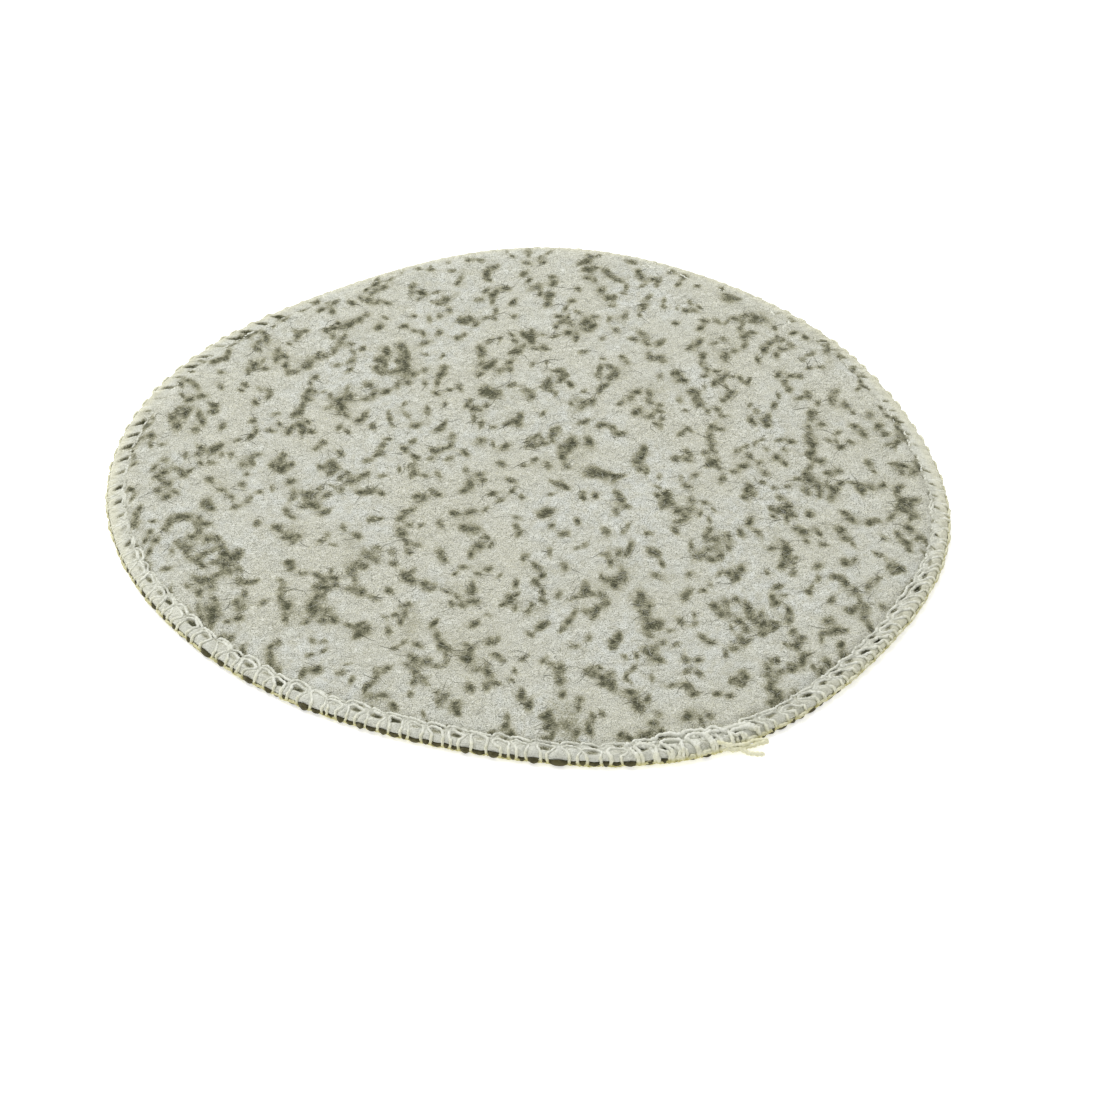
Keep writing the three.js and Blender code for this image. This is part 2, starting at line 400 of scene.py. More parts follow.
def side_rings(section, seam, band, disc):
    """One side of a disc as rings from the edge in, each (share, inset, height, segments). A ring's radius
    is its share of what is left of the edge's radius once its inset is taken off. seam, band and disc are
    the spacings of the rings, and about the finest spacing of the vertices round them, in the three zones
    from the edge in."""
    length = np.concatenate([[0], np.cumsum(np.hypot(*np.diff(section, axis=0).T))])
    turn = np.interp(SEAM_BAND, section[:, 0], length)
    where = np.concatenate([
        np.linspace(0, turn, int(turn / seam) + 1),
        np.linspace(turn, length[-1], int((length[-1] - turn) / band) + 2)[1:],
    ])
    inset, height = (np.interp(where, length, section[:, k]) for k in range(2))
    places = [(1.0, i, h, seam if i < SEAM_BAND else band) for i, h in zip(inset, height)]
    radius = edge_radius(0.0)
    shares = np.linspace(1, 0, int((radius - BAND) / disc) + 1)[1:-1]
    places += [(share, BAND, height[-1], disc) for share in shares]
    rings = []
    segments = RIM_SEGMENTS
    for share, inset, height, spacing in places:
        apart = share * (radius - inset) * 2 * np.pi / segments
        if rings and segments % 2 == 0 and apart < 0.6 * spacing:
            segments //= 2
        rings.append((share, inset, height, segments))
    return rings


def ring_faces(outer, outer_count, inner, inner_count):
    """Faces between two rings, the inner with as many segments as the outer or half of them."""
    i = np.arange(inner_count)
    j = (i + 1) % inner_count
    if inner_count == outer_count:
        return [np.stack([outer + i, outer + j, inner + j, inner + i], 1)]
    a, b, c = 2 * i, 2 * i + 1, (2 * i + 2) % outer_count
    return [
        np.stack([outer + a, outer + b, inner + i], 1),
        np.stack([outer + b, inner + j, inner + i], 1),
        np.stack([outer + b, outer + c, inner + j], 1),
    ]


def felt_disc(upper, lower):
    """A closed disc from the rings of its two sides, which share the outermost one. Gives the vertices,
    each one's normal across the section, whether it is on the upper side, and the faces."""
    vertices, normals, is_upper, faces = [], [], [], []
    total = 0
    for side, rings in ((1, upper), (-1, lower)):
        flat = np.array([(inset, height) for _, inset, height, _ in rings])
        run = np.gradient(flat, axis=0)
        run[np.hypot(*run.T) < 1e-9] = (1, 0)
        across = side * np.stack([-run[:, 1], run[:, 0]], 1)
        across /= np.hypot(*across.T)[:, None]
        previous = None
        for k, (share, inset, height, segments) in enumerate(rings):
            if side == -1 and k == 0:
                previous = (0, segments)
                continue
            angle = np.arange(segments) / segments * 2 * np.pi
            radius = share * (edge_radius(angle) - inset)
            direction = np.stack([np.cos(angle), np.sin(angle)], 1)
            vertices.append(np.column_stack([direction * radius[:, None], np.full(segments, height)]))
            sideways, upward = across[k] if k else (-1.0, 0.0)
            normals.append(np.column_stack([-direction * sideways, np.full(segments, upward)]))
            is_upper.append(np.full(segments, side == 1))
            if previous:
                groups = ring_faces(*previous, total, segments)
                faces += groups if side == 1 else [group[:, ::-1] for group in groups]
            previous = (total, segments)
            total += segments
        vertices.append(np.array([[0.0, 0.0, rings[-1][2]]]))
        normals.append(np.array([[0.0, 0.0, side]]))
        is_upper.append(np.array([side == 1]))
        start, segments = previous
        i = np.arange(segments)
        fan = np.stack([start + i, start + (i + 1) % segments, np.full(segments, total)], 1)
        faces.append(fan if side == 1 else fan[:, ::-1])
        total += 1
    return np.vstack(vertices), np.vstack(normals), np.concatenate(is_upper), faces


def press(points, tree, depth, puff):
    """How far felt moves along its normal beside the threads: in under them, and out away from them."""
    distance = np.array([tree.find(point)[2] for point in points])
    puffed = 1 - np.exp(-(distance / HELD_DOWN) ** 2)
    return puff * puffed - depth * np.exp(-(distance / PRESSED) ** 2)


def stitch_place(x, y, start):
    """How far along the edge each place is, in stitches from 0 to 120 past start."""
    return (np.arctan2(y, x) / (2 * np.pi) * STITCHES - start) % STITCHES + start


def cell_phase(x, y):
    """1 at the middle of each arch, and -1 midway between two."""
    middles = ((ALONG[:-1] + ALONG[1:]) / 2 + LEAN[:-1])[:STITCHES]
    middles = np.append(middles, middles[0] + STITCHES)
    place = stitch_place(x, y, middles[0])
    return np.cos(2 * np.pi * np.interp(place, middles, np.arange(STITCHES + 1)))


def leg_distance(x, y):
    """How far each place is along the edge from the nearest leg of the upper looper, in millimetres."""
    middle = (ALONG[:-1] + ALONG[1:]) / 2 + LEAN[:-1]
    legs = np.sort(np.concatenate([middle - FOOT[:-1], middle + FOOT[:-1]]) % STITCHES)
    legs = np.concatenate([legs[-1:] - STITCHES, legs, legs[:1] + STITCHES])
    place = stitch_place(x, y, 0)
    after = np.searchsorted(legs, place)
    return np.minimum(legs[after] - place, place - legs[after - 1]) * 2 * np.pi * EDGE_MEAN / STITCHES


def looseness(x, y):
    """1 along the -Y side as far as the tail, where the edge is loose and bulges between the threads."""
    return smooth_step(0.3, 0.85, -(0.26 * x + 0.966 * y) / EDGE_MEAN)


def sweep(x, y):
    """1 between the +X side and the tail, where the face felt is drawn down over the edge."""
    return smooth_step(0.78, 0.93, (0.81 * x - 0.587 * y) / EDGE_MEAN)


def farness(y):
    """1 along the +Y side, where the felt closes over the seam."""
    return smooth_step(0.0, 0.7, y / EDGE_MEAN)


def rim_sag(x, y):
    """How far the join of the two felts hangs down at the edge: most under each arch."""
    sag = 0.16 + 0.12 * cell_phase(x, y) + 0.13 * plane_noise(x, y, 3.1, 13)
    sag = sag * looseness(x, y) + 0.34 * sweep(x, y)
    return sag * smooth_step(1.0, 0.0, inset_of(x, y))


def slots():
    """The slots that the threads hold open in the face felt, as rows of (along, inset, heading in from
    along the edge, half length, half width, depth). Each stitch has one between its arch and its needle
    thread, one beyond its needle hole, one slanting across the seam at the sides, and one under its
    arch."""
    local = np.random.default_rng(SEED + 2)
    rows = []
    for i in range(STITCHES):
        between, beyond, across, under = local.random(4)
        middle = (ALONG[i] + ALONG[i + 1]) / 2
        slant = -0.85 if LEFTNESS[i] else 0.85
        gape = 1 - TIGHTNESS[i] * (1 - 0.8 * SIDENESS[i])
        rows += [(*row, depth * gape) for *row, depth in (
            (middle + 0.1, (ARCH[i] + BOW[i]) / 2, -0.35, 0.75, 0.26, 0.15 + 0.45 * between),
            (ALONG[i], HOLE[i] + 0.5, -0.2, 0.55, 0.26, 0.05 + 0.35 * beyond),
            (middle + 0.3 * LEAN[i], 1.9, slant, 1.35 - 0.5 * RIGHTNESS[i], 0.32,
             (0.9 * LEFTNESS[i] + 0.5 * RIGHTNESS[i]) * (0.25 + across)),
            (middle + 0.2 * LEAN[i], ARCH[i] - 0.7, 0.0, 1.1, 0.5,
             0.85 * under ** 1.4 * (1 - SIDENESS[i])),
        )]
    return rows


def slot_depth(x, y):
    """How deep the slots are at each point, in millimetres."""
    pitch = 2 * np.pi * EDGE_MEAN / STITCHES
    place = stitch_place(x, y, SEAM_START) - SEAM_START
    inset = inset_of(x, y)
    order = np.argsort(place)
    ranked = place[order]
    depth = np.zeros(len(x))
    for along, middle, heading, long, wide, deep in slots():
        centre = (along - SEAM_START) % STITCHES
        chosen = order[slice(*np.searchsorted(ranked, (centre - 0.5, centre + 0.5)))]
        u = (place[chosen] - centre) * pitch
        v = inset[chosen] - middle
        run = (u * math.cos(heading) + v * math.sin(heading)) / long
        over = (v * math.cos(heading) - u * math.sin(heading)) / wide
        depth[chosen] = np.maximum(depth[chosen], deep * np.exp(-(run ** 2 + over ** 2) ** 1.3))
    return depth


def tree_of(*paths):
    points = np.vstack(paths)
    tree = KDTree(len(points))
    for index, point in enumerate(points):
        tree.insert(point, index)
    tree.balance()
    return tree


# ---- Flecks: dark fibres needled up through the pale felt ----

FLECK_PITCH = 0.2  # spacing of the grid of darkness
FLECK_HALF = 84.0  # half the grid's width
FLECK_SPACING = 4.85  # distance between clusters
NAP = 1.35  # how much longer everything in the felt is along Y, the way it was carded


def splat(grid, x, y, long, short, turn, weight, fall):
    """Adds one soft oval to a grid of darkness. A higher fall gives it a harder edge."""
    reach = int(long * 4 * NAP / FLECK_PITCH) + 1
    i, j = int((x + FLECK_HALF) / FLECK_PITCH), int((y + FLECK_HALF) / FLECK_PITCH)
    rows, columns = slice(max(i - reach, 0), i + reach + 1), slice(max(j - reach, 0), j + reach + 1)
    window = grid[rows, columns]
    u = (np.arange(window.shape[0]) + rows.start) * FLECK_PITCH - FLECK_HALF - x
    v = ((np.arange(window.shape[1]) + columns.start) * FLECK_PITCH - FLECK_HALF - y) / NAP
    u, v = u[:, None], v[None]
    along = (u * math.cos(turn) + v * math.sin(turn)) / long
    over = (v * math.cos(turn) - u * math.sin(turn)) / short
    dark = weight * np.exp(-(along ** 2 + over ** 2) ** (fall / 2))
    grid[rows, columns] = 1 - (1 - window) * (1 - dark)


def make_flecks():
    """A grid of darkness from 0 to 1, and its tufts as rows of (x, y, size, darkness): clusters of small
    dots, strung out along wandering lines, with a soft blotch or a haze round some."""
    size = int(2 * FLECK_HALF / FLECK_PITCH)
    grid = np.zeros((size, size))
    tufts = []
    local = np.random.default_rng(SEED + 1)
    steps = np.arange(-FLECK_HALF, FLECK_HALF, FLECK_SPACING)
    xs, ys = (
        value.ravel() + local.uniform(-0.5, 0.5, value.size) * FLECK_SPACING
        for value in np.meshgrid(steps, steps)
    )
    inside = inset_of(xs, ys) > -0.5
    for x, y in zip(xs[inside], ys[inside]):
        kind = local.random()
        dots = 1 if kind < 0.4 else 2 if kind < 0.78 else local.integers(3, 5)
        heading = local.uniform(0, 2 * np.pi)
        chain = []
        for _ in range(dots):
            long = local.uniform(0.66, 1.12)
            weight = local.uniform(0.65, 1.0) * (1 - sample(grid, np.array(x), np.array(y)))
            short = long * local.uniform(0.42, 0.75)
            splat(grid, x, y, long, short, heading + local.normal(0, 0.5), weight, fall=1.5)
            chain.append((x, y, long, weight))
            heading += local.normal(0, 1.1)
            away = local.uniform(1.4, 2.6)
            x, y = x + away * math.cos(heading), y + away * math.sin(heading) * NAP
        tufts += chain
        x, y = np.mean(chain, axis=0)[:2]
        if dots > 1 and local.random() < 0.25:
            long, short = local.uniform(1.3, 2.2), local.uniform(0.9, 1.4)
            splat(grid, x, y, long, short, heading, weight=local.uniform(0.1, 0.35), fall=2.4)
        if local.random() < 0.75:
            x, y = x + local.normal(0, 1.5), y + local.normal(0, 1.5)
            long, short = local.uniform(2, 4), local.uniform(1.2, 2.4)
            splat(grid, x, y, long, short, heading, weight=local.uniform(0.04, 0.16), fall=2.0)
    return grid, np.array(tufts)


def sample(grid, x, y):
    """The grid's darkness at places between its points."""
    u, v = (x + FLECK_HALF) / FLECK_PITCH, (y + FLECK_HALF) / FLECK_PITCH
    i = np.clip(u.astype(int), 0, grid.shape[0] - 2)
    j = np.clip(v.astype(int), 0, grid.shape[1] - 2)
    fu, fv = u - i, v - j
    low = grid[i, j] * (1 - fu) + grid[i + 1, j] * fu
    high = grid[i, j + 1] * (1 - fu) + grid[i + 1, j + 1] * fu
    return low * (1 - fv) + high * fv


def fleck_at(grid, x, y):
    """Darkness at places on the face. Few flecks show along the seam, except on the +Y side."""
    return sample(grid, x, y) * (0.25 + 0.75 * smooth_step(1.6, 3.8, inset_of(x, y) + 1.2 * farness(y)))


# ---- Surfaces ----

FACE_BUMPS = ((0.1, 42), (0.07, 13), (0.05, 4.6), (0.04, 2.1), (0.03, 1.1))  # height and width of each
FLECK_DIP = 0.08  # how far a dark fleck is needled in


def face_relief(x, y, fleck):
    """The unevenness of the needled face."""
    bumps = (height * plane_noise(x, y, width, seed) for seed, (height, width) in enumerate(FACE_BUMPS, 1))
    return sum(bumps) - FLECK_DIP * fleck


def face_move(points, fleck, tree):
    """How far the working face's points stand above its section."""
    x, y, _ = points.T
    inset = inset_of(x, y)
    move = face_relief(x, y, fleck) * smooth_step(0.5, 4.5, inset)
    near = inset < BAND
    move[near] += (
        press(points[near], tree, depth=0.1, puff=0.3) * smooth_step(BAND - 1, SEAM_BAND, inset[near])
        * (0.3 + 0.7 * smooth_step(-0.1, 0.6, inset[near]))
    )
    near &= inset > 0
    move[near] -= slot_depth(x[near], y[near])
    return move


def make_face(tree, flecks, material):
    upper = side_rings(CROWN, seam=0.27, band=0.4, disc=0.55)
    lower = side_rings(FACE_UNDER, seam=0.6, band=1.5, disc=5.0)
    points, normals, is_upper, faces = felt_disc(upper, lower)
    fleck = fleck_at(flecks, points[:, 0], points[:, 1])
    points[is_upper] += normals[is_upper] * face_move(points[is_upper], fleck[is_upper], tree)[:, None]
    x, y, _ = points.T
    points[:, 2] -= rim_sag(x, y)
    inset = inset_of(x, y)
    near = (inset < BAND) & is_upper
    # The slots' depth also darkens the felt's colour: painted shade in the slots and under the arches, with
    # dark backing fibres pulled up at the needle holes.
    slot_shade_and_fibre = np.zeros(len(points))
    slot_shade_and_fibre[near] = slot_depth(x[near], y[near])
    values = {
        "fleck": fleck, "slot_shade_and_fibre": slot_shade_and_fibre,
        # seam: painted light that lifts the felt in the seam's cells out of their shade, less on the +Y
        # side.
        "seam": smooth_step(3.6, 2.4, inset) * (1 - 0.6 * farness(y)),
        "rim": smooth_step(2.2, 0.4, inset) * (1 - looseness(x, y)),
    }
    piece = make_piece("face_felt_needled", points, faces, material, values)
    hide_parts("face_felt")
    return piece


def make_backing(tree, material):
    upper = side_rings(BACKING_TOP, seam=0.4, band=1.5, disc=5.0)
    lower = side_rings(BACKING_UNDER, seam=0.3, band=0.6, disc=0.9)
    points, normals, is_upper, faces = felt_disc(upper, lower)
    x, y, _ = points.T
    inset = inset_of(x, y)
    relief = 0.05 * plane_noise(x, y, 4.6, 11) + 0.04 * plane_noise(x, y, 1.9, 12) - 0.07
    move = np.where(is_upper, 0, relief)
    near = (inset < BAND) & ~is_upper & (inset > 0.3)
    pressed = press(points[near], tree, depth=0.2, puff=0.2)
    move[near] += pressed * smooth_step(BAND - 1, SEAM_BAND, inset[near])
    rim = (inset <= 0.3) & ~(is_upper & (inset > -0.1))  # where it bulges out between the threads' legs
    distance = leg_distance(x[rim], y[rim])
    puff = -0.14 + looseness(x[rim], y[rim]) * (
        0.5 - 0.1 * cell_phase(x[rim], y[rim]) + 0.12 * plane_noise(x[rim], y[rim], 3.7, 14)
    )
    bulge = puff * (1 - np.exp(-(distance / 0.7) ** 2)) - 0.18 * np.exp(-(distance / 0.35) ** 2)
    move[rim] += bulge * smooth_step(0.3, -0.1, inset[rim])
    points = points + normals * move[:, None]
    points[is_upper, 2] -= rim_sag(x, y)[is_upper]
    points[:, 2] = np.maximum(points[:, 2], 0)
    piece = make_piece("backing_felt_needled", points, faces, material)
    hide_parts("backing_felt")
    return piece


# ---- Materials ----

def colour(red, green, blue):
    """A shader colour from display values of 0 to 255."""
    channels = [value / 255 for value in (red, green, blue)]
    linear = [c / 12.92 if c <= 0.04045 else ((c + 0.055) / 1.055) ** 2.4 for c in channels]
    return (*linear, 1.0)


class Shader:
    """A material under construction, with short calls for the nodes that these materials share."""

    def __init__(self, name, roughness, sheen=0.0, nap=1.0):
        self.material = bpy.data.materials.new(name)
        self.material.use_nodes = True
        self.nodes = self.material.node_tree.nodes
        self.surface = self.nodes["Principled BSDF"]
        self.surface.inputs["Roughness"].default_value = roughness
        self.surface.inputs["Specular IOR Level"].default_value = 0.2
        self.surface.inputs["Sheen Weight"].default_value = sheen
        self.surface.inputs["Sheen Roughness"].default_value = 0.6
        place = self.nodes.new("ShaderNodeTexCoord").outputs["Object"]
        self.place = self.vector("MULTIPLY", place, (1, 1 / nap, 1))

    def feed(self, socket, value):
        if isinstance(value, bpy.types.NodeSocket):
            self.material.node_tree.links.new(value, socket)
        else:
            socket.default_value = value

    def vector(self, operation, first, second, third=(0, 0, 0)):
        node = self.nodes.new("ShaderNodeVectorMath")
        node.operation = operation
        for socket, value in zip(node.inputs, (first, second, third)):
            self.feed(socket, value)
        return node.outputs[0]

    def height(self):
        """Height above the pad's back face, in metres."""
        node = self.nodes.new("ShaderNodeSeparateXYZ")
        self.feed(node.inputs[0], self.place)
        return node.outputs["Z"]

    def attribute(self, name):
        node = self.nodes.new("ShaderNodeAttribute")
        node.attribute_name = name
        return node.outputs["Fac"]

    def math(self, operation, first, second):
        node = self.nodes.new("ShaderNodeMath")
        node.operation = operation
        self.feed(node.inputs[0], first)
        self.feed(node.inputs[1], second)
        return node.outputs[0]

    def add(self, *values):
        total = values[0]
        for value in values[1:]:
            total = self.math("ADD", total, value)
        return total

    def spread(self, value, amount):
        """A value of 0 to 1 made to run from minus amount / 2 to amount / 2."""
        return self.math("MULTIPLY", self.math("SUBTRACT", value, 0.5), amount)

    def step(self, value, low, high):
        node = self.nodes.new("ShaderNodeMapRange")
        node.interpolation_type = "SMOOTHSTEP"
        self.feed(node.inputs["Value"], value)
        node.inputs["From Min"].default_value = low
        node.inputs["From Max"].default_value = high
        return node.outputs["Result"]

    def mix(self, share, first, second):
        """The first colour where share is 0, and the second where it is 1."""
        node = self.nodes.new("ShaderNodeMixRGB")
        for socket, value in zip(node.inputs, (share, first, second)):
            self.feed(socket, value)
        return node.outputs[0]

    def noise(self, scale, detail=2.0, roughness=0.5, where=None, output="Fac"):
        node = self.nodes.new("ShaderNodeTexNoise")
        node.inputs["Scale"].default_value = scale
        node.inputs["Detail"].default_value = detail
        node.inputs["Roughness"].default_value = roughness
        self.feed(node.inputs["Vector"], self.place if where is None else where)
        return node.outputs[output]

    def tangle(self, across, along):
        """Hairs lying every way, as in felt, from 0 to 1: noise stretched along four directions."""
        warp = self.noise(520, 2.0, 0.55, output="Color")
        where = self.vector("MULTIPLY_ADD", warp, (0.0018,) * 3, self.place)
        highest = None
        for turn in (0.15, 0.95, 1.75, 2.5):
            node = self.nodes.new("ShaderNodeMapping")
            node.inputs["Rotation"].default_value = (0, 0, turn)
            node.inputs["Scale"].default_value = (along, across, across * 0.5)
            self.feed(node.inputs["Vector"], where)
            layer = self.noise(1.0, 1.0, 0.5, where=node.outputs[0])
            highest = layer if highest is None else self.math("MAXIMUM", highest, layer)
        return self.step(highest, 0.42, 0.8)

    def bump(self, height, distance, strength):
        node = self.nodes.new("ShaderNodeBump")
        node.inputs["Strength"].default_value = strength
        node.inputs["Distance"].default_value = distance
        self.feed(node.inputs["Height"], height)
        self.feed(self.surface.inputs["Normal"], node.outputs["Normal"])

    def paint(self, value):
        self.feed(self.surface.inputs["Base Color"], value)
        return self.material


def face_material():
    shader = Shader("face_felt_needled", 0.95, sheen=0.12, nap=NAP)
    tangle = shader.tangle(5600, 1500)
    grain = shader.noise(6200, 2.0, 0.65)
    lumps = shader.noise(620, 3.0, 0.6)
    zones = shader.noise(70, 3.0, 0.55)
    pale = shader.mix(shader.step(zones, 0.38, 0.64), colour(204, 203, 182), colour(215, 219, 212))
    pale = shader.mix(shader.step(lumps, 0.3, 0.72), pale, colour(198, 197, 178))
    pale = shader.mix(shader.math("MULTIPLY", tangle, 0.7), pale, colour(237, 238, 229))
    pale = shader.mix(shader.step(grain, 0.45, 0.71), pale, colour(116, 116, 96))
    # Painted light: the felt along the seam is lightened where its cells lie in shade.
    pale = shader.mix(shader.math("MULTIPLY", shader.attribute("seam"), 0.6), pale, colour(224, 225, 212))
    pale = shader.mix(shader.math("MULTIPLY", shader.attribute("rim"), 0.5), pale, colour(224, 221, 190))
    dark = shader.mix(tangle, colour(48, 49, 25), colour(98, 99, 70))
    haze = shader.mix(shader.step(grain, 0.35, 0.7), colour(180, 177, 150), colour(127, 126, 98))
    # The flecks' darkness plus painted shade in the slots, with dark backing fibre at the needle holes, all
    # coloured like the dark flecks.
    fleck = shader.add(shader.attribute("fleck"), shader.math("MULTIPLY", shader.attribute("slot_shade_and_fibre"), 1.5))
    ragged = shader.add(
        1.0, shader.spread(lumps, 1.3), shader.spread(grain, 1.0), shader.spread(tangle, -0.5),
    )
    amount = shader.math("MULTIPLY", fleck, ragged)
    shader.bump(shader.add(tangle, grain), 0.00015, 0.9)
    base = shader.mix(shader.step(amount, 0.03, 0.5), pale, haze)
    return shader.paint(shader.mix(shader.step(amount, 0.2, 0.9), base, dark))


def backing_material():
    shader = Shader("backing_felt_needled", 0.95, sheen=0.1, nap=NAP)
    tangle = shader.tangle(5400, 1400)
    grain = shader.noise(4800, 2.0, 0.6)
    lumps = shader.noise(600, 3.0, 0.55)
    dark = shader.mix(shader.step(lumps, 0.35, 0.65), colour(56, 52, 26), colour(80, 75, 44))
    dark = shader.mix(shader.math("MULTIPLY", tangle, 0.3), dark, colour(124, 119, 84))
    wisps = shader.step(shader.add(shader.noise(330, 4.0, 0.62), shader.spread(grain, 0.12)), 0.62, 0.76)
    shader.bump(shader.add(tangle, grain), 0.00013, 0.8)
    return shader.paint(shader.mix(shader.math("MULTIPLY", wisps, 0.6), dark, colour(150, 146, 112)))


def yarn_shader(name):
    """A thread's shader, its fine fuzz, and the patches in which its colour varies."""
    shader = Shader(name, 0.8, sheen=0.3)
    fuzz = shader.noise(6500, 2.0, 0.6)
    return shader, fuzz, shader.step(shader.noise(900, 2.0, 0.5), 0.3, 0.7)


def thread_material():
    """Off-white on the face, creamier where a thread turns over the edge, and yellower and darker down round
    it: partly the thread's own yellow, partly painted shade on the low side of the edge.
    """
    shader, fuzz, patches = yarn_shader("seam_thread")
    pale = shader.mix(patches, colour(238, 239, 228), colour(220, 221, 206))
    cream = shader.mix(patches, colour(238, 236, 208), colour(219, 217, 184))
    # deep: the thread's yellow with painted shade, for the parts low down round the edge.
    deep = shader.mix(patches, colour(214, 208, 146), colour(184, 177, 104))
    base = shader.mix(shader.math("MULTIPLY", shader.attribute("outward"), 0.6), pale, cream)
    # Below about 1.8 mm up the threads turn to the deep colour: yellow thread and painted shade.
    base = shader.mix(shader.step(shader.height(), 0.0007, 0.0018), deep, base)
    hollows = shader.math("MULTIPLY", shader.step(fuzz, 0.47, 0.75), 0.6)
    shader.bump(fuzz, 0.00014, 1.0)
    return shader.paint(shader.mix(hollows, base, colour(176, 175, 148)))


def tail_material():
    shader, fuzz, patches = yarn_shader("tail_thread")
    cream = shader.mix(patches, colour(238, 236, 208), colour(226, 223, 186))
    hollows = shader.math("MULTIPLY", shader.step(fuzz, 0.5, 0.8), 0.5)
    shader.bump(fuzz, 0.0001, 0.9)
    return shader.paint(shader.mix(hollows, cream, colour(196, 194, 158)))


def fibre_material(name, low, high):
    shader = Shader(name, 0.85, sheen=0.1)
    mottle = shader.noise(1500, 1.0)
    tone = shader.mix(shader.attribute("shade"), low, high)
    return shader.paint(shader.mix(shader.math("MULTIPLY", mottle, 0.35), tone, high))


# ---- Stage ----

def make_stage():
    bpy.ops.mesh.primitive_plane_add(size=FLOOR_SIZE, location=(0, 0, FLOOR_HEIGHT))
    floor = bpy.context.object
    floor.name = "floor"
    shader = Shader("floor", 0.8)
    shader.surface.inputs["Emission Color"].default_value = (1, 1, 1, 1)
    shader.surface.inputs["Emission Strength"].default_value = FLOOR_GLOW
    floor.data.materials.append(shader.paint(colour(247, 247, 247)))

    world = bpy.data.worlds.new("sky")
    world.use_nodes = True
    world.node_tree.nodes["Background"].inputs["Color"].default_value = (1, 1, 1, 1)
    world.node_tree.nodes["Background"].inputs["Strength"].default_value = SKY_STRENGTH
    bpy.context.scene.world = world

    key = bpy.data.lights.new("key", "AREA")
    key.energy = KEY_ENERGY
    key.size = KEY_SIZE
    lamp = bpy.data.objects.new("key", key)
    lamp.location = KEY_PLACE
    lamp.rotation_euler = (-KEY_PLACE).to_track_quat("-Z", "Y").to_euler()
    bpy.context.scene.collection.objects.link(lamp)
    bpy.context.scene.view_settings.view_transform = "Standard"


def make_camera():
    data = bpy.data.cameras.new("camera")
    data.lens = CAMERA_LENS
    data.clip_start = 0.01
    camera = bpy.data.objects.new("camera", data)
    back = Vector((0, -math.cos(CAMERA_ELEVATION), math.sin(CAMERA_ELEVATION)))
    camera.location = CAMERA_TARGET + CAMERA_DISTANCE * back
    camera.rotation_euler = (-back).to_track_quat("-Z", "Y").to_euler()
    bpy.context.scene.collection.objects.link(camera)
    bpy.context.scene.camera = camera


# ---- Loose fibres ----

PALE_FIBRES = 7000
DARK_FIBRES = 7600
FUZZ_HAIRS = 2600
LONG_SHARE = 0.12  # the share of the dark fibres that are long
FIBRE_POINTS = 5  # along each fibre


def fibres(x, y, heading, length, curl, lift, radius, surface, seed, clear=1.5):
    """Fine curved fibres lying on a surface. Each is a three-sided hair that thins towards its ends. Those
    that could reach to less than clear from the edge are left out."""
    local = np.random.default_rng(seed)
    reach = inset_of(x, y) - length > clear
    x, y, heading, length, curl, lift, radius = (
        value[reach] for value in (x, y, heading, length, curl, lift, radius)
    )
    count = len(x)
    t = np.linspace(0, 1, FIBRE_POINTS)[None]
    wiggle = local.uniform(0.1, 0.5, (count, 1)) * np.sin(2 * np.pi * (t + local.random((count, 1))))
    bearing = heading[:, None] + curl[:, None] * t + wiggle
    step = length[:, None] / (FIBRE_POINTS - 1)
    half = length[:, None] * 0.5
    px = x[:, None] + np.cumsum(np.cos(bearing) * step, 1) - half * np.cos(heading[:, None])
    py = y[:, None] + np.cumsum(np.sin(bearing) * step, 1) - half * np.sin(heading[:, None])
    pz = surface(px.ravel(), py.ravel()).reshape(px.shape) + lift[:, None] * np.sin(np.pi * t) - 0.02
    centre = np.stack([px, py, pz], -1)
    side = np.stack([-np.sin(bearing), np.cos(bearing), np.zeros_like(bearing)], -1)
    thick = radius[:, None] * (0.35 + 0.65 * np.sin(np.pi * t))
    corners = []
    for corner in range(3):
        angle = np.pi / 2 + corner * 2 * np.pi / 3
        offset = math.cos(angle) * side + math.sin(angle) * np.array([0.0, 0.0, 1.0])
        corners.append(centre + offset * thick[..., None])
    vertices = np.stack(corners, 2).reshape(-1, 3)
    base = (np.arange(count)[:, None] * FIBRE_POINTS + np.arange(FIBRE_POINTS - 1)[None]) * 3
    quads = [
        np.stack([base + c, base + 3 + c, base + 3 + (c + 1) % 3, base + (c + 1) % 3], -1).reshape(-1, 4)
        for c in range(3)
    ]
    first = np.arange(count) * FIBRE_POINTS * 3
    last = first + (FIBRE_POINTS - 1) * 3
    ends = [np.stack([first, first + 1, first + 2], 1), np.stack([last + 2, last + 1, last], 1)]
    shade = np.repeat(local.random(count), FIBRE_POINTS * 3)
    return vertices, quads + ends, {"shade": shade}


def make_fibres(name, material, made):
    vertices, faces, values = made
    piece = make_piece(name, vertices, faces, material, values)
    return piece


def make_pale_fibres(surface):
    local = np.random.default_rng(SEED + 5)
    x, y = local.uniform(-80, 80, (2, PALE_FIBRES * 3))
    inside = np.flatnonzero(inset_of(x, y) > 0.8)[:PALE_FIBRES]
    x, y = x[inside], y[inside]
    count = len(x)
    made = fibres(
        x, y, local.uniform(0, 2 * np.pi, count), local.uniform(1.0, 3.5, count),
        local.normal(0, 1.1, count), local.uniform(0.02, 0.14, count), local.uniform(0.02, 0.034, count),
        surface, SEED + 6,
    )
    material = fibre_material("pale_fibre", colour(188, 188, 172), colour(222, 223, 214))
    return make_fibres("face_fibres_pale", material, made)


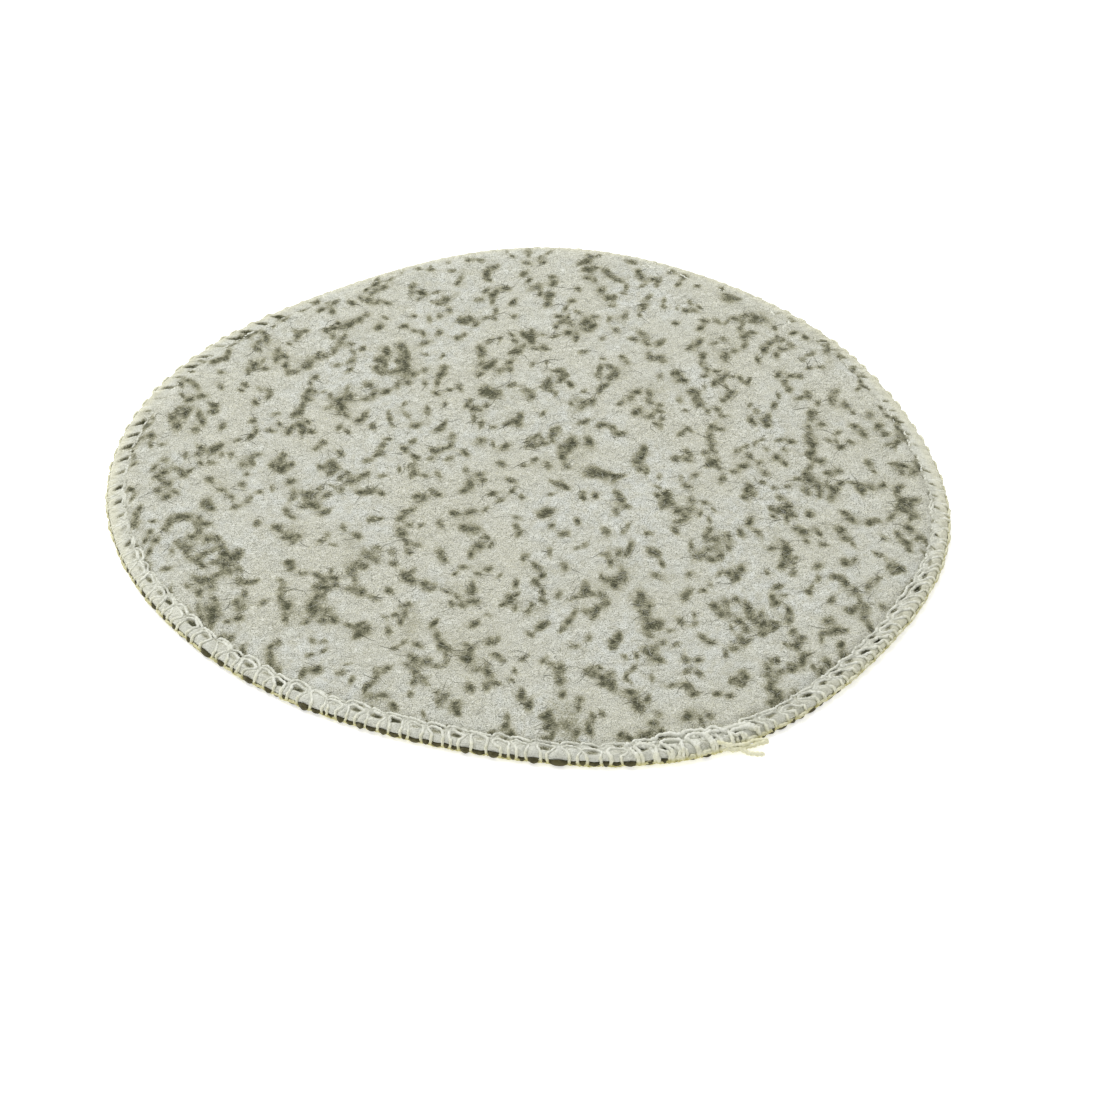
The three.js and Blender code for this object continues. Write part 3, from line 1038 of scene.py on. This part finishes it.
def make_dark_fibres(surface, tufts):
    local = np.random.default_rng(SEED + 7)
    weight = tufts[:, 3] * (0.4 + tufts[:, 2])
    chosen = local.choice(len(tufts), DARK_FIBRES, p=weight / weight.sum())
    x = tufts[chosen, 0] + local.normal(0, 0.55, len(chosen)) * tufts[chosen, 2]
    y = tufts[chosen, 1] + local.normal(0, 0.55 * NAP, len(chosen)) * tufts[chosen, 2]
    inside = inset_of(x, y) > 0.6
    x, y = x[inside], y[inside]
    count = len(x)
    is_long = local.random(count) < LONG_SHARE
    length = np.where(is_long, local.uniform(2.2, 6.0, count), local.uniform(0.4, 1.6, count))
    made = fibres(
        x, y, local.uniform(0, 2 * np.pi, count), length, local.normal(0, 1.3, count),
        local.uniform(0.02, 0.12, count), local.uniform(0.026, 0.044, count), surface, SEED + 8,
    )
    material = fibre_material("dark_fibre", colour(62, 62, 40), colour(108, 108, 84))
    return make_fibres("face_fibres_dark", material, made)


def make_thread_fuzz(*paths):
    """Short hairs standing off the seam's threads."""
    local = np.random.default_rng(SEED + 9)
    points = np.vstack(paths)
    points = points[points[:, 2] > 1.9]  # those on the working face
    x, y, _ = points[local.choice(len(points), FUZZ_HAIRS)].T
    count = len(x)
    made = fibres(
        x, y, local.uniform(0, 2 * np.pi, count), local.uniform(0.5, 1.3, count),
        local.normal(0, 1.4, count), local.uniform(0.0, 0.25, count), local.uniform(0.02, 0.032, count),
        lambda x, y: crown(inset_of(x, y)) + 0.14, SEED + 10, clear=0.0,
    )
    material = fibre_material("thread_fuzz", colour(206, 206, 190), colour(234, 234, 224))
    return make_fibres("thread_fuzz", material, made)


# ---- Assembly ----

make_camera()
make_stage()

NEEDLE = smooth_route(needle_route(), SEAM_STEP)
UPPER = smooth_route(upper_looper_route(), SEAM_STEP)
LOWER = smooth_route(lower_looper_route(), SEAM_STEP)
TAIL_LOOP = smooth_route(tail_loop_route(), TAIL_STEP)
TAIL_END = smooth_route(tail_end_route(), TAIL_STEP)

seam_thread = thread_material()
tail_thread = tail_material()
threads = []
for name, path, radius, node, material, pile in (
    ("needle_yarn", NEEDLE, THREAD_RADIUS, "needle_thread", seam_thread, PILE),
    ("upper_looper_yarn", UPPER, THREAD_RADIUS, "upper_looper_thread", seam_thread, PILE),
    ("lower_looper_yarn", LOWER, THREAD_RADIUS, "lower_looper_thread", seam_thread, PILE),
    ("tail_loop_yarn", TAIL_LOOP, TAIL_LOOP_RADIUS, "tail_loop", tail_thread, [0, 0]),
    ("tail_end_yarn", TAIL_END, TAIL_END_RADIUS, "tail_end", tail_thread, [0, 0]),
):
    vertices, faces = yarn(path, radius, SEED + len(threads), pile)
    vertices[:, 2] = np.maximum(vertices[:, 2], 0)
    outward = smooth_step(0.9, -0.3, inset_of(vertices[:, 0], vertices[:, 1]))
    piece = make_piece(name, vertices, faces, material, {"outward": outward})
    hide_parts(node)
    threads.append(piece)

thread_tree = tree_of(NEEDLE, UPPER, LOWER)
flecks, tufts = make_flecks()
face = make_face(thread_tree, flecks, face_material())
backing = make_backing(thread_tree, backing_material())


def face_surface(x, y):
    """Height of the finished working face."""
    height = crown(inset_of(x, y))
    return height + face_move(np.column_stack([x, y, height]), fleck_at(flecks, x, y), thread_tree)


pale_fibres = make_pale_fibres(face_surface)
dark_fibres = make_dark_fibres(face_surface, tufts)
thread_fuzz = make_thread_fuzz(NEEDLE, UPPER)

angle = np.linspace(0, 2 * np.pi, 2000, endpoint=False)
flat_area = float(np.mean(edge_radius(angle) ** 2) * np.pi * MM ** 2)
